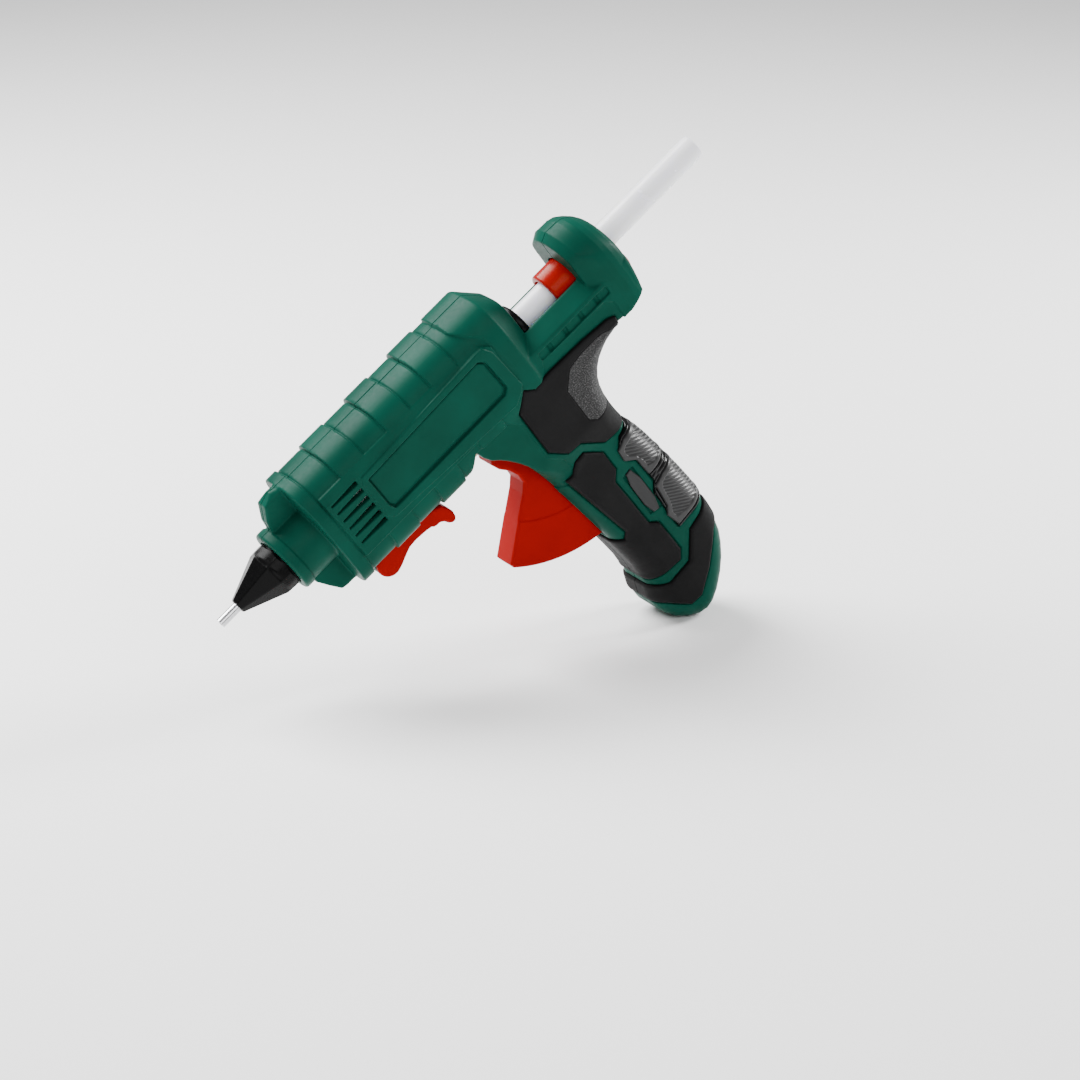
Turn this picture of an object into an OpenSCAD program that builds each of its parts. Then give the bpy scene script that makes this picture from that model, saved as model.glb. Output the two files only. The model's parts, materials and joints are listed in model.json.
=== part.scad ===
// Corded-station hot glue gun, shown with a full glue stick loaded.
// Gun frame: x runs back along the barrel from the nozzle tip, z is up from the handle,
// y is across. The whole gun is then pitched nose-down and set on its origin.

/* [Gun] */
// Nose-down angle of the barrel at rest
pitch = 36.9; // [30:0.1:45]
// Radius of the glue stick
stick_r = 5.6; // [5.4:0.05:5.7]
// Length of the glue stick
stick_len = 200; // [150:5:200]
// Where the front end of the glue stick starts, behind the nozzle tip
stick_front = 74; // [70:1:90]

/* [Nozzle] */
// Outer radius of the outlet tube
tube_r = 2.1; // [1.9:0.1:2.5]
// Length of the outlet tube that shows
tube_len = 9.2; // [6:0.1:12]
// Radius of the glue outlet
outlet_r = 1; // [0.8:0.1:1.3]
// Radius of the valve ball
ball_r = 2.5; // [2.3:0.1:2.6]

/* [Housing] */
// Half width of the barrel
barrel_a = 19.6; // [18.5:0.1:20]
// Half height of the barrel between its raised rings
barrel_b = 26.6; // [26:0.1:27]
// How far the raised rings stand out
ring_step = 1; // [0.6:0.1:1.2]
// Wall thickness of the housing halves
wall = 2.6; // [2.2:0.1:2.8]
// Half width of the handle's green surface
grip_b = 15.4; // [15:0.1:16]
// How far the soft grips stand out from the green surface
pad_step = 1.2; // [0.8:0.1:1.4]

/* [Feed] */
// Swing of the trigger from rest to fully pulled, degrees
trigger_swing = 26; // [20:1:28]
// Length of the trigger's upper arm, pivot to link pin
trigger_arm = 18; // [16:0.5:18.5]
// Outer radius of the feed carriage
carriage_r = 8.8; // [8.4:0.1:8.9]
// Half width of the trigger
trigger_b = 6.5; // [6:0.1:6.8]
// Radius of the trigger's pivot pin
pivot_r = 2; // [1.8:0.1:2.2]
// Radial play of the pins that turn
play = 0.05; // [0.03:0.01:0.08]

/* [Hidden] */
$fn = 48;
cut = 0.02;

// Main places in the gun frame, as [x, z]
trigger_pivot = [152.4, -31.4];
stand_pivot = [66, -34.6];
link_z = trigger_pivot[1] + trigger_arm * cos(trigger_swing / 2);
link_front_x = trigger_pivot[0] + trigger_arm * sin(trigger_swing / 2);
link_rear_x = 193;
jaw_pivot = [206, -13];
feed_travel = 2 * trigger_arm * sin(trigger_swing / 2);
sector_r = 67.8;
shell_b = 18;
section_points = 32;
barrel_front = 52.3;
rear_face = 167;
cavity_rear = 160;
collar_front = 198;
spine_floor = 12.5;
rim_z = 1.4;
stand_pin_half = 4.4;
hollow_end = -141;
screw_places = [[62, -19.5], [112, -19.5], [136, 18], [157, 17], [208, 14], [172, -44],
    [150, -122], [174, -134]];

// The foot's flat is level when the gun is pitched; the station's contacts enter through it
foot_front = [145.5, -157.4];
foot_len = 11.5;
foot_rear = foot_front + foot_len * [cos(pitch), -sin(pitch)];
foot_mid = (foot_front + foot_rear) / 2;
socket_y = 5;
socket_r = 1.6;
socket_depth = 6;
socket_len = 14;

// The nozzle narrows behind the tube that shows, and its cover starts a little behind that
neck_r = tube_r - 0.25;
cover_front = tube_len + 0.3;
nozzle_r = 6.8;
chamber_r = 10.4;

// Radii of the small pins, and of the screws
stand_pin_r = 1.5;
link_pin_r = 1.5;
jaw_pin_r = 1.2;
screw_r = 1.38;
screw_head_r = 2.7;

// Raised rings along the barrel, as [front, rear, step out]
rings = [[barrel_front, 58.3, 0.4], [58.3, 70.9, -0.5], [70.9, 84.5, 0.5], [84.5, 96.8, 0],
    [96.8, 110.3, 0.9], [110.3, 122.4, 0.3], [122.4, 136, 1.4], [136, 143.1, 0.6],
    [143.1, 159.4, 1.6], [159.4, 162, 0.3], [162, 164.5, -2.3], [164.5, rear_face, -5]];

// Sections of the collar, as [front, rear, radius, height of its centre]
collar = [[collar_front, 199.5, 18.6, 0], [199.5, 202, 20, 0], [202, 210.5, 20.6, 0],
    [210.5, 213.5, 19.9, -1.5], [213.5, 216, 19, -3.5], [216, 218, 18.2, -5.2]];

// Side outline of the handle, spine and rear overhang
handle_outline = [[217.5, rim_z], [rear_face - 1, rim_z], [140, -5], [118, -15], [121, -26],
    [126, -30.5], [132, -40], [135, -49], [137.4, -60], [139.6, -75], [142.2, -97],
    [143.8, -110], [143.6, -124], [142.6, -132], [141, -140], [141, -148], foot_front,
    foot_rear, [162.8, -161.8], [175.4, -152], [183, -140.5], [185.6, -132],
    [185.8, -122], [185, -105], [182.9, -87.5], [181, -73], [178.8, -64.7],
    [179.1, -55.9], [179.5, -47.6], [181.4, -38.4], [185.3, -32], [191.1, -27.8],
    [198.6, -25], [203, -23.7], [215.7, -20.2], [218, -4.5]];
handle_mid_x = 163;
handle_half = 24.5;
handle_n = 2.6;
heel_step = 0.8;

upper_grip_outline = [[195.4, -17.4], [182.6, -16.1], [163.8, -15.3], [154.1, -16.6],
    [150.1, -13], [142.6, -19.1], [143.5, -32.1], [144.1, -42.9], [148.1, -49.3],
    [155.7, -52.3], [164, -57.5], [173, -62], [178.2, -61], [178.6, -56], [179, -47.6],
    [180.9, -38.6], [184.9, -32.4], [190.8, -28.2], [198, -25.4], [199.2, -19]];

// What is cut off both rear corners of the neck, beyond neck_cut_y
neck_cut_outline = [[172.8, -60], [173.5, -47.6], [175.4, -38.4], [179.5, -31.4], [186, -27],
    [194, -25.2], [205, -24.5], [205, -60]];
neck_cut_y = 13;
lower_grip_outline = [[154.4, -56.1], [149.5, -56.8], [145.7, -60.7], [141.8, -61.5],
    [146, -86], [148.5, -100.4], [146.5, -103.9], [141.5, -102], [138, -103.7],
    [138, -124], [144.6, -129.5], [159.8, -130.7], [162.7, -126.6], [162.3, -108.9],
    [158.6, -105.3], [157.9, -78.4], [161.5, -74.2], [161.5, -63.8]];
heel_outline = [[190, -117.9], [179.6, -121.1], [171.1, -123.3], [162.4, -134.7],
    [150, -135.6], [144.2, -132.8], [134, -129], [134, -136], [144, -142.9],
    [151.7, -151.6], [157.8, -152], [167.6, -144.7], [179, -133], [190, -127.7]];
pad_upper_outline = [[190, -66], [171.6, -65.6], [166.5, -68.1], [165.6, -73.2],
    [169.8, -76.7], [170.2, -87.3], [190, -86]];
pad_lower_outline = [[190, -91.7], [176.2, -91.7], [170.3, -93.9], [169.1, -105.5],
    [166.6, -109], [168.2, -116.4], [190, -113.8]];
trigger_outline = [[124.8, -33], [124.3, -37], [126.2, -42], [129.4, -49], [128.4, -54.2],
    [118, -64], [102.6, -77.5]];

// Place of the gun frame in the stored frame: middle of the box, lowest point at zero
function row_x(p) = p[0] * cos(pitch) - p[1] * sin(pitch);
function row_z(p) = p[0] * sin(pitch) + p[1] * cos(pitch);
near_x = -tube_r * sin(pitch);
far_x = max([for (p = handle_outline) row_x(p)]);
rest_x = -(near_x + far_x) / 2;
rest_z = -row_z(foot_front);

// ---- helpers ----

// Turns a gun-frame shape into the stored frame
module pitched() {
    translate([rest_x, 0, rest_z]) rotate([0, -pitch, 0]) children();
}

// Puts a shape drawn upright on the middle of the foot's flat into the gun frame
module on_foot() {
    translate([foot_mid[0], 0, foot_mid[1]]) rotate([0, pitch, 0]) children();
}

// Extrudes a drawing of (y, z) along x
module along_x(x0, x1) {
    translate([x0, 0, 0]) rotate([90, 0, 90]) linear_extrude(x1 - x0) children();
}

// Extrudes a drawing of (x, z) along y
module along_y(y0, y1) {
    translate([0, y1, 0]) rotate([90, 0, 0]) linear_extrude(y1 - y0) children();
}

// Round bar along x
module bar_x(x0, x1, r) {
    translate([x0, 0, 0]) rotate([0, 90, 0]) cylinder(h = x1 - x0, r = r);
}

// Round bar along y through the point p = [x, z]
module bar_y(p, y0, y1, r) {
    translate([p[0], y1, p[1]]) rotate([90, 0, 0]) cylinder(h = y1 - y0, r = r);
}

function superellipse(a, b, n, count) = [for (i = [0 : count - 1])
    let (t = 360 * i / count + 180 / count, s = sin(t), c = cos(t))
    [a * sign(s) * pow(abs(s), 2 / n), b * sign(c) * pow(abs(c), 2 / n)]];

function unit(v) = v / norm(v);

// Moves every side of a counter-clockwise outline inwards by d
function inset(points, d) = let (count = len(points)) [for (i = [0 : count - 1])
    let (p = points[i],
        a = unit(p - points[(i + count - 1) % count]),
        b = unit(points[(i + 1) % count] - p),
        m = [-a[1] - b[1], a[0] + b[0]])
    p + m * d / (1 + a * b)];

// Frames across a path, then one tube skin along it
function across(d) = unit(cross(d, abs(d[1]) > 0.9 ? [1, 0, 0] : [0, 1, 0]));
function path_dir(path, i) = unit(path[min(i + 1, len(path) - 1)] - path[max(i - 1, 0)]);

module tube_along(path, r, sides) {
    last = len(path) - 1;
    skin = [for (i = [0 : last]) let (d = path_dir(path, i), u = across(d), v = cross(d, u))
        for (k = [0 : sides - 1]) let (t = 360 * k / sides)
            path[i] + r * (cos(t) * u + sin(t) * v)];
    sides_faces = [for (i = [0 : last - 1], k = [0 : sides - 1])
        let (n = (k + 1) % sides)
        [i * sides + k, (i + 1) * sides + k, (i + 1) * sides + n, i * sides + n]];
    caps = [[for (k = [0 : sides - 1]) k], [for (k = [sides - 1 : -1 : 0]) last * sides + k]];
    polyhedron(points = skin, faces = concat(sides_faces, caps));
}

// ---- housing ----

// Outline of the barrel: its lower half is squarer and a little deeper
function barrel_outline(a, b) = [for (i = [0 : section_points - 1])
    let (t = 360 * i / section_points + 180 / section_points, s = sin(t), c = cos(t),
        n = c > 0 ? 3 : 4, depth = c > 0 ? b : b + 0.6)
    [a * sign(s) * pow(abs(s), 2 / n), depth * sign(c) * pow(abs(c), 2 / n)]];

// Prism of the handle's rounded section, grown by d
module handle_section(d) {
    translate([handle_mid_x, 0, -170]) linear_extrude(122)
        polygon(superellipse(handle_half + d, grip_b + d, handle_n, section_points));
}

module barrel_skin() {
    for (ring = rings)
        along_x(ring[0], ring[1]) polygon(barrel_outline(barrel_a + ring[2] * 0.5,
            barrel_b + ring[2] * ring_step));
}

// Flat raised field on each side of the barrel, with cut corners
module side_field() {
    along_y(-20.6, 20.6) polygon([[150.5, -9], [150.5, 11.5], [144, 17.5], [58.3, 17.5],
        [58.3, -14], [144, -14]]);
}

module nose() {
    bar_x(34, 38.7, 14.6);
    bar_x(38.7 - cut, 53, 14);
    along_y(-3.8, 3.8) polygon([[39.4, 12], [53, 12], [53, 26], [48.2, 26.8], [43.4, 25.4],
        [40.6, 19]]);
    along_y(-3.8, 3.8) polygon([[38.6, -12], [39.8, -17.4], [45, -26], [48, -27], [53, -27],
        [53, -12]]);
}

module collar_skin() {
    for (part = collar) along_x(part[0], part[1]) collar_shape(part[2], part[3]);
}

module collar_shape(r, middle) {
    half_width = min(r, shell_b);
    intersection() {
        translate([0, middle]) circle(r);
        translate([-shell_b - 1.2, middle]) square([2 * shell_b + 2.4, 30]);
    }
    translate([-half_width, -20]) square([2 * half_width, 20 + middle + cut]);
}

module handle_skin() {
    difference() {
        intersection() {
            along_y(-shell_b, shell_b) polygon(handle_outline);
            union() {
                translate([100, -30, -52]) cube([130, 60, 60]);
                handle_section(0);
            }
        }
        neck_cut(neck_cut_y);
        rim_bevels();
    }
}

// Slopes beside the trough, down from its rim to the sides of the spine
module rim_bevels() {
    for (side = [-1, 1]) along_x(150, collar_front + 6)
        polygon([[side * 9.2, rim_z], [side * (shell_b + 1), -4.8], [side * 30, -4.8],
            [side * 30, 10], [side * 9.2, 10]]);
}

module neck_cut(y0) {
    for (side = [-1, 1]) along_y(side > 0 ? y0 : -30, side > 0 ? 30 : -y0)
        polygon(neck_cut_outline);
}

// Lug under the barrel that carries the stand
module stand_lug() {
    along_y(-2.5, 2.5) polygon([[60.6, -25], [60.6, stand_pivot[1]],
        [71.4, stand_pivot[1]], [71.4, -25]]);
    bar_y(stand_pivot, -2.5, 2.5, 5.4);
}

module hollow() {
    bar_x(33, 44, 10.9);
    bar_x(44 - cut, barrel_front + 4, 12.9);
    along_x(barrel_front + wall, cavity_rear) polygon(barrel_outline(barrel_a - wall,
        barrel_b - wall));
    bar_x(cavity_rear - 2, rear_face + cut, 9.05);
    // trough for the carriage, and the slot that its foot runs in
    bar_x(rear_face - cut, 213.9, carriage_r + 0.5);
    bar_x(rear_face - cut, 170.9, 9.9);
    translate([rear_face - cut, -carriage_r - 0.5, 0])
        cube([collar_front - rear_face + cut, 2 * carriage_r + 1, 12]);
    translate([158, -5.6, -20]) cube([54, 11.2, 14]);
    // hole for the stick in the rear wall
    bar_x(213, 219, stick_r + 0.5);
    handle_hollow();
}

module handle_hollow() {
    difference() {
        intersection() {
            along_y(-grip_b + wall, grip_b - wall) polygon(inset(handle_outline, wall));
            union() {
                translate([100, -30, -52 - cut]) cube([cavity_rear - 100, 60, 60]);
                translate([100, -30, -52 - cut]) cube([130, 60, 52 - spine_floor]);
                handle_section(-wall);
            }
            translate([100, -30, hollow_end]) cube([130, 60, 200]);
        }
        translate([-wall, 0, wall]) neck_cut(neck_cut_y - wall);
    }
    // slot in front that the trigger swings in
    intersection() {
        along_y(-trigger_b - 0.4, trigger_b + 0.4) polygon([[118, -22], [118, -34],
            [124, -90], [136, -100], [150, -101], [150, -22]]);
        translate([100, -30, -101]) cube([60, 60, 80]);
    }
    // mouth in the foot for the station's plug, and the pocket of the contact block
    on_foot() translate([-4, -7.6, -5]) cube([8, 15.2, 5 + socket_depth]);
    on_foot() translate([-5.1, -8.5, socket_depth]) cube([10.2, 17, 24]);
}

module vents() {
    for (i = [0 : 5])
        translate([60.4, -25, 13.6 - 4.3 * i - 1]) cube([14.2, 50, 2]);
}

// Posts inside that hold the screws, the trigger pin and the inner parts
module posts(side) {
    for (p = screw_places) bar_y(p, side > 0 ? 0 : -17, side > 0 ? 17 : 0, 3.4);
    bar_y(trigger_pivot, side > 0 ? 7.3 : -15.5, side > 0 ? 15.5 : -7.3, 4.6);
    translate([190, side > 0 ? 8 : -12, -20.8]) cube([16, 4, 1.2]);
}

module outer_skin() {
    barrel_skin();
    side_field();
    nose();
    collar_skin();
    handle_skin();
}

module half(side) {
    intersection() {
        difference() {
            union() {
                difference() {
                    outer_skin();
                    hollow();
                    vents();
                }
                stand_lug();
                intersection() {
                    posts(side);
                    outer_skin();
                }
            }
            bar_y(stand_pivot, -5, 5, stand_pin_r);
            bar_y(trigger_pivot, -13.6, 13.6, pivot_r);
            for (p = screw_places) {
                bar_y(p, -9, 12, screw_r + cut);
                bar_y(p, 12 - cut, 30, screw_head_r + 0.2);
            }
            // seat of the status lens
            bar_at_lens(210, 220, 6.55);
        }
        translate([0, side > 0 ? 0 : -60, -200]) cube([300, 60, 300]);
    }
}

module housing_left() {
    color("#045240") pitched() half(-1);
}

module housing_right() {
    color("#045240") pitched() half(1);
}

// ---- hot end ----

module nozzle_cover() {
    color("#1c1c1e") pitched() difference() {
        union() {
            translate([cover_front, 0, 0]) rotate([0, 90, 0])
                cylinder(h = 27.3 - cover_front, r1 = 3.2, r2 = 9.8);
            bar_x(27.3 - cut, 44.5, 10.2);
            bar_x(44.5 - cut, 47, 12.6);
        }
        bar_x(0, 20, neck_r + 0.2);
        translate([12, 0, 0]) rotate([0, 90, 0])
            cylinder(h = 18, r1 = neck_r + 0.2, r2 = nozzle_r + 0.2);
        bar_x(30 - cut, 50, nozzle_r + 0.2);
    }
}

module nozzle() {
    color("#c9a24a") pitched() difference() {
        union() {
            bar_x(0, tube_len, tube_r);
            bar_x(tube_len - cut, 15, neck_r);
            translate([12.4, 0, 0]) rotate([0, 90, 0])
                cylinder(h = 17.6, r1 = neck_r, r2 = nozzle_r);
            bar_x(30 - cut, 50, nozzle_r);
            bar_x(47.2, 50, 9);
        }
        bar_x(-1, 29, outlet_r);
        bar_x(28.5, 46, ball_r + 0.5);
        bar_x(46 - cut, 51, 5);
    }
}

module valve_ball() {
    color("#b9bcc0") pitched() translate([44, 0, 0]) sphere(ball_r, $fn = 32);
}

module valve_spring() {
    turns = 5;
    steps = 14;
    pitched_coil = [for (i = [0 : turns * steps]) let (t = 360 * i / steps)
        [30 + 10.9 * i / (turns * steps), 1.9 * cos(t), 1.9 * sin(t)]];
    color("#a8abb0") pitched() tube_along(pitched_coil, 0.35, 8);
}

module melt_chamber() {
    color("#b4b7ba") pitched() difference() {
        union() {
            bar_x(46.1, 62, 4.95);
            bar_x(52, 122.5, chamber_r);
            bar_x(122, 134, 7.6);
            translate([62, -8, 0]) cube([54, 16, 18]);
        }
        bar_x(46, 64, 1.7);
        translate([60, 0, 0]) rotate([0, 90, 0]) cylinder(h = 10, r1 = 1.7, r2 = 6);
        bar_x(70 - cut, 135, 6);
        translate([63, -6, 11.5]) cube([54, 12, 5]);
    }
}

module heater() {
    color("#8d8478") pitched() {
        translate([64, -5.5, 11.5]) cube([23, 11, 3.6]);
        translate([89, -5.5, 11.5]) cube([23, 11, 3.6]);
    }
}

module heater_wedge() {
    color("#9ea1a5") pitched() translate([64, -5.8, 15.1]) cube([52, 11.6, 1.4]);
}

module thermal_fuse() {
    color("#d8d4c8") pitched() translate([0, 0, -13.2]) {
        bar_x(80, 94, 2.6);
        bar_x(76, 98, 0.5);
    }
}

module bracket(x0, hole_r) {
    difference() {
        along_x(x0, x0 + 2.4) polygon(barrel_outline(barrel_a - wall - 0.05,
            barrel_b - wall - 0.05));
        bar_x(x0 - 1, x0 + 4, hole_r);
    }
}

module front_bracket() {
    color("#d9c9a3") pitched() bracket(55.6, chamber_r + play);
}

module rear_bracket() {
    color("#d9c9a3") pitched() difference() {
        bracket(119.5, chamber_r + play);
        for (side = [-1, 1]) translate([118, side * 10 - 1.5, -17]) cube([6, 3, 3]);
    }
}

module inlet_sleeve() {
    color("#202022") pitched() difference() {
        union() {
            bar_x(126, rear_face, 9);
            bar_x(rear_face, 170.6, 9.7);
        }
        bar_x(125, 134, 7.65);
        bar_x(134 - cut, 172, stick_r + 0.35);
    }
}

module glue_stick() {
    color("#e9e9f0") pitched() bar_x(stick_front, stick_front + stick_len, stick_r);
}

// ---- feed ----

module carriage() {
    color("#c3140f") pitched() difference() {
        union() {
            bar_x(187, 212.5, carriage_r);
            // lug for the link pin
            along_y(-2, 2) polygon([[188.5, -4], [188.5, link_z - 3], [197.5, link_z - 3],
                [199, -4]]);
            // cheeks around the jaw
            along_y(-5, 5) polygon([[200, -4], [200, -16.4], [209.5, -16.4], [209.5, -4]]);
        }
        bar_x(186, 214, stick_r + 0.4);
        bar_y([link_rear_x, link_z], -3, 3, link_pin_r);
        bar_y(jaw_pivot, -6, 6, jaw_pin_r);
        translate([199.5, -1.9, -18]) cube([12, 3.8, 14]);
    }
}

module grip_jaw() {
    color("#8f9296") pitched() difference() {
        union() {
            bar_y(jaw_pivot, -1.6, 1.6, 2.6);
            along_y(-1.6, 1.6) polygon([[204.4, -13], [207.6, -13], [209.4, -6.9],
                [208.6, -6.5], [206.9, -7]]);
        }
        bar_y(jaw_pivot, -3, 3, jaw_pin_r + play);
    }
}

module jaw_pin() {
    color("#b9bcc0") pitched() bar_y(jaw_pivot, -5, 5, jaw_pin_r);
}

module link_arm() {
    color("#9b9ea3") pitched() difference() {
        union() {
            for (side = [-1, 1]) {
                y0 = side > 0 ? 2.4 : -4.2;
                along_y(y0, y0 + 1.8) polygon([[link_front_x, link_z - 2.6],
                    [link_rear_x, link_z - 2.6], [link_rear_x, link_z + 2.6],
                    [link_front_x, link_z + 2.6]]);
                bar_y([link_front_x, link_z], y0, y0 + 1.8, 2.9);
                bar_y([link_rear_x, link_z], y0, y0 + 1.8, 3.1);
            }
            translate([168, -2.41, link_z - 2.6]) cube([12, 4.82, 1.6]);
        }
        bar_y([link_front_x, link_z], -6, 6, link_pin_r + play);
        bar_y([link_rear_x, link_z], -6, 6, link_pin_r + 0.8);
    }
}

module link_pin_front() {
    color("#b9bcc0") pitched() bar_y([link_front_x, link_z], -4.6, 4.6, link_pin_r);
}

module link_pin_rear() {
    color("#b9bcc0") pitched() bar_y([link_rear_x, link_z], -4.6, 4.6, link_pin_r);
}

module trigger() {
    sector = [for (i = [0 : 9]) let (t = 224.5 + 39.5 * i / 9)
        trigger_pivot + sector_r * [cos(t), sin(t)]];
    arm_dir = [sin(trigger_swing / 2), cos(trigger_swing / 2)];
    arm_side = [arm_dir[1], -arm_dir[0]];
    arm_end = trigger_pivot + trigger_arm * arm_dir;
    color("#c3140f") pitched() difference() {
        union() {
            difference() {
                along_y(-trigger_b, trigger_b) polygon(concat(trigger_outline, sector,
                    [trigger_pivot + [6.2, -3], trigger_pivot + [4, 5], [134, -29.4]]));
                bar_y(trigger_pivot, -10, 10, 5.9);
            }
            bar_y(trigger_pivot, -7, 7, 6);
            along_y(-2, 2) polygon([trigger_pivot - 3.4 * arm_side, trigger_pivot
                + 3.4 * arm_side, arm_end + 2.9 * arm_side, arm_end - 2.9 * arm_side]);
            bar_y(arm_end, -2, 2, 2.9);
        }
        bar_y(trigger_pivot, -10, 10, pivot_r + play);
        bar_y(arm_end, -6, 6, link_pin_r);
    }
}

module trigger_pin() {
    color("#b9bcc0") pitched() bar_y(trigger_pivot, -13.5, 13.5, pivot_r);
}

module trigger_spring() {
    turns = 4;
    steps = 20;
    coil = [for (i = [0 : turns * steps]) let (t = 360 * i / steps)
        [trigger_pivot[0] + 5.5 * cos(t), 8.1 + 4 * i / (turns * steps),
            trigger_pivot[1] + 5.5 * sin(t)]];
    color("#a8abb0") pitched() tube_along(coil, 0.45, 8);
}

module stand_lever() {
    arm = [[66, -29], [74, -28.9], [82, -29.2], [96.5, -30.8], [99.9, -37.2], [99.2, -42.4],
        [96, -42.4], [93.6, -38], [89.9, -37.8], [88.5, -36.2], [78, -35.3], [73, -37.5],
        [69, -39.6], [66, -40.2]];
    color("#c3140f") pitched() difference() {
        union() {
            for (side = [-1, 1]) {
                y0 = side > 0 ? 2.8 : -5;
                along_y(y0, y0 + 2.2) polygon([for (i = [len(arm) - 1 : -1 : 0]) arm[i]]);
                bar_y(stand_pivot, y0, y0 + 2.2, 5.6);
            }
            intersection() {
                along_y(-5, 5) polygon([for (i = [len(arm) - 1 : -1 : 0]) arm[i]]);
                translate([73.6, -6, -50]) cube([40, 12, 30]);
            }
        }
        bar_y(stand_pivot, -stand_pin_half - 0.1, stand_pin_half + 0.1, stand_pin_r + play);
    }
}

module stand_pin() {
    color("#b9bcc0") pitched()
        bar_y(stand_pivot, -stand_pin_half, stand_pin_half, stand_pin_r);
}

// ---- grips and trim ----

// Holes in the right-hand grips that let a driver reach the screws
module screw_access() {
    for (p = screw_places) bar_y(p, 12, 30, screw_head_r + 0.4);
}

// Part of the handle's outer layer inside an outline, on one side or on both
module handle_layer(outline, y0, y1) {
    intersection() {
        difference() {
            handle_section(pad_step);
            handle_section(0.02);
        }
        along_y(y0, y1) polygon(outline);
    }
}

module upper_grip(side) {
    y0 = side > 0 ? shell_b : -shell_b - pad_step;
    difference() {
        along_y(y0, y0 + pad_step) polygon(upper_grip_outline);
        neck_cut(0);
        translate([100, -60, -110]) cube([130, 120, 58]);
        barrel_skin();
        side_field();
    }
}

module upper_grip_left() {
    color("#232324") pitched() {
        upper_grip(-1);
        upper_grip_tail(-1);
    }
}

module upper_grip_right() {
    color("#232324") pitched() difference() {
        union() {
            upper_grip(1);
            upper_grip_tail(1);
        }
        screw_access();
    }
}

// Lower end of the upper grip, on the rounded handle below the flat cheek
module upper_grip_tail(side) {
    intersection() {
        difference() {
            translate([handle_mid_x, 0, -64]) linear_extrude(12 + cut)
                polygon(superellipse(handle_half + 3, shell_b + pad_step, handle_n,
                    section_points));
            handle_section(0.02);
            translate([100, -shell_b, -52]) cube([130, 2 * shell_b, 1]);
        }
        along_y(side > 0 ? 4 : -30, side > 0 ? 30 : -4) polygon(upper_grip_outline);
    }
}

module lower_grip_left() {
    color("#262626") pitched() handle_layer(lower_grip_outline, -30, -7.5);
}

module lower_grip_right() {
    color("#262626") pitched() difference() {
        handle_layer(lower_grip_outline, 7.5, 30);
        screw_access();
    }
}

module back_pad_upper() {
    color("#303031") pitched() back_layer(pad_upper_outline, 0.7, pad_step + 0.4);
}

module back_pad_lower() {
    color("#303031") pitched() back_layer(pad_lower_outline, 0.7, pad_step + 0.4);
}

// A layer that wraps round the back of the handle, following its rear outline
module back_layer(outline, inner, outer) {
    intersection() {
        difference() {
            rear_prism(outer);
            rear_prism(inner);
        }
        along_y(-30, 30) polygon(outline);
    }
}

module rear_prism(d) {
    intersection() {
        translate([handle_mid_x, 0, -126]) linear_extrude(66)
            polygon(superellipse(handle_half + d, grip_b + d, handle_n, section_points));
        along_y(-30, 30) polygon(inset(handle_outline, -d));
    }
}

module back_panel() {
    color("#262626") pitched() intersection() {
        difference() {
            rear_prism(0.68);
            rear_prism(0.02);
        }
        along_y(-30, 30) polygon([[190, -64], [171, -64], [167.5, -70], [170, -90],
            [168, -106], [169, -119], [190, -117]]);
    }
}

module heel(side) {
    intersection() {
        difference() {
            handle_section(pad_step);
            intersection() {
                handle_section(0.02);
                along_y(-30, 30) polygon(inset(handle_outline, -0.02));
            }
        }
        along_y(side > 0 ? 0 : -30, side > 0 ? 30 : 0) polygon(heel_outline);
        along_y(-30, 30) polygon(inset(handle_outline, -heel_step));
    }
}

module heel_left() {
    color("#262626") pitched() heel(-1);
}

module heel_right() {
    color("#262626") pitched() difference() {
        heel(1);
        screw_access();
    }
}

module side_label() {
    color("#2c2c2e") pitched() handle_layer([[166.5, -79.6], [162.2, -80.2], [162.6, -102.6],
        [167, -103.4]], -30, -7.5);
}

// ---- lamp, contacts and leads ----

module bar_at_lens(x0, x1, r) {
    translate([0, 0, -11.5]) bar_x(x0, x1, r);
}

module status_lens() {
    color("#c01818") pitched() difference() {
        union() {
            bar_at_lens(213.9, 217.4, 6.5);
            bar_at_lens(217.4 - cut, 220.6, 5.2);
        }
        bar_at_lens(213, 219, 4.2);
        translate([210, -8, -6]) cube([12, 16, 12]);
    }
}

module status_board() {
    color("#2f6b3a") pitched() translate([190.5, -9.4, -19.6]) cube([15, 18.8, 1.4]);
}

module status_led() {
    color("#e04038") pitched() translate([202, -1.5, -18.2]) cube([3, 3, 1.2]);
}

module contact_block() {
    color("#2a2a2c") pitched() on_foot() difference() {
        translate([-5, -8.4, socket_depth]) cube([10, 16.8, 12]);
        for (side = [-1, 1]) translate([0, side * socket_y, 0]) cylinder(h = 20, r = 2.4);
    }
}

module contact_sockets() {
    color("#c9a24a") pitched() on_foot() for (side = [-1, 1])
        translate([0, side * socket_y, socket_depth]) difference() {
            cylinder(h = socket_len + 2, r = 2.38);
            translate([0, 0, -1]) cylinder(h = socket_len + 1, r = socket_r);
        }
}

module lead(side) {
    lift = socket_depth + socket_len + 2;
    up = [sin(pitch), cos(pitch)];
    start = foot_mid + lift * up;
    next = start + 2.4 * up;
    path = [[start[0], side * socket_y, start[1]], [next[0], side * socket_y, next[1]],
        [163, side * 6, -134], [164, side * 8, -122],
        [168, side * 9.4, -108], [170, side * 9.6, -90], [169, side * 9.8, -70],
        [166, side * 9.8, -56], [159, side * 10.4, -46], [146, side * 11, -39.5],
        [137, side * 11, -28], [130, side * 10, -16.4], [118, side * 10, -15.5],
        [113, side * 9.5, -13], [104, side * 8, -12.6], [98, side * 5, -13]];
    tube_along(path, 1.2, 8);
}

module lead_live() {
    color("#6e4a2c") pitched() lead(-1);
}

module lead_neutral() {
    color("#2c5a94") pitched() lead(1);
}

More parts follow.
